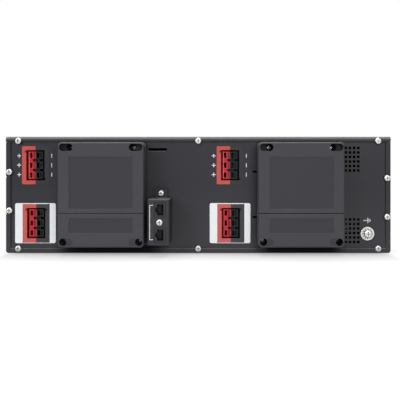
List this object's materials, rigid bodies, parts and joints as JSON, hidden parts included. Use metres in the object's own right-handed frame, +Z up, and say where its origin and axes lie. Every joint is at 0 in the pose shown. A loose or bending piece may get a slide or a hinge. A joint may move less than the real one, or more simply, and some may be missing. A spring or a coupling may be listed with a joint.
{
  "type": "ups external battery module",
  "caption": "Rack or tower battery module for an uninterruptible power supply: dark grey steel case, moulded service covers, red and black power ports, detection jacks",
  "frame": {"origin": "centre of the bounding box's bottom face", "axes": "+Z up, the connector side faces -Y, the bezel faces +Y, +X to the right seen from the connector side"},
  "size_m": [0.43, 0.614, 0.13],
  "materials": {
    "case_paint": "satin",
    "bezel_plastic": "satin",
    "cover_plastic": "satin",
    "box_paint": "satin",
    "bright_screw": "bright zinc",
    "dark_screw": "satin",
    "red_housing": "satin",
    "black_housing": "satin",
    "holder_plastic": "satin",
    "contact_metal": "tinned",
    "red_label": "satin",
    "grey_label": "satin",
    "white_label": "satin",
    "jack_plastic": "satin",
    "board_green": "satin",
    "standoff_metal": "satin",
    "copper_bar": "satin",
    "battery_case": "satin",
    "tray_steel": "galvanised",
    "fuse_base": "satin",
    "fuse_ceramic": "satin",
    "red_lead": "satin",
    "black_lead": "satin"
  },
  "bodies": {
    "root": {"chassis_tray": "case_paint", "lid": "case_paint", "rear_panel": "case_paint", "front_plate": "case_paint", "front_bezel": "bezel_plastic", "service_cover_left": "cover_plastic", "service_cover_right": "cover_plastic", "detection_box": "box_paint", "rear_screws": "bright_screw", "earth_screw": "bright_screw", "earth_washers": "bright_screw", "cover_screws": "dark_screw", "lid_screws": "dark_screw", "front_plate_screws": "dark_screw", "port_1_positive_housings": "red_housing", "port_2_positive_housings": "red_housing", "port_3_positive_housings": "red_housing", "port_4_positive_housings": "red_housing", "port_1_negative_housings": "black_housing", "port_2_negative_housings": "black_housing", "port_3_negative_housings": "black_housing", "port_4_negative_housings": "black_housing", "port_holders": "holder_plastic", "port_contacts": "contact_metal", "port_labels_red": "red_label", "port_labels_grey": "grey_label", "white_label_left": "white_label", "white_label_right": "white_label", "detection_jack_upper": "jack_plastic", "detection_jack_lower": "jack_plastic", "detection_board": "board_green", "detection_standoff": "standoff_metal", "fuse_clips": "standoff_metal", "positive_bus_bars": "copper_bar", "negative_bus_bars": "copper_bar", "battery_links_left": "copper_bar", "battery_links_right": "copper_bar", "battery_01": "battery_case", "battery_02": "battery_case", "battery_03": "battery_case", "battery_04": "battery_case", "battery_05": "battery_case", "battery_06": "battery_case", "battery_07": "battery_case", "battery_08": "battery_case", "battery_09": "battery_case", "battery_10": "battery_case", "battery_11": "battery_case", "battery_12": "battery_case", "battery_13": "battery_case", "battery_14": "battery_case", "battery_15": "battery_case", "battery_16": "battery_case", "battery_tray_left": "tray_steel", "battery_tray_right": "tray_steel", "fuse_holders": "fuse_base", "fuses": "fuse_ceramic", "positive_leads": "red_lead", "fuse_leads": "red_lead", "negative_leads": "black_lead"}
  },
  "joints": []
}
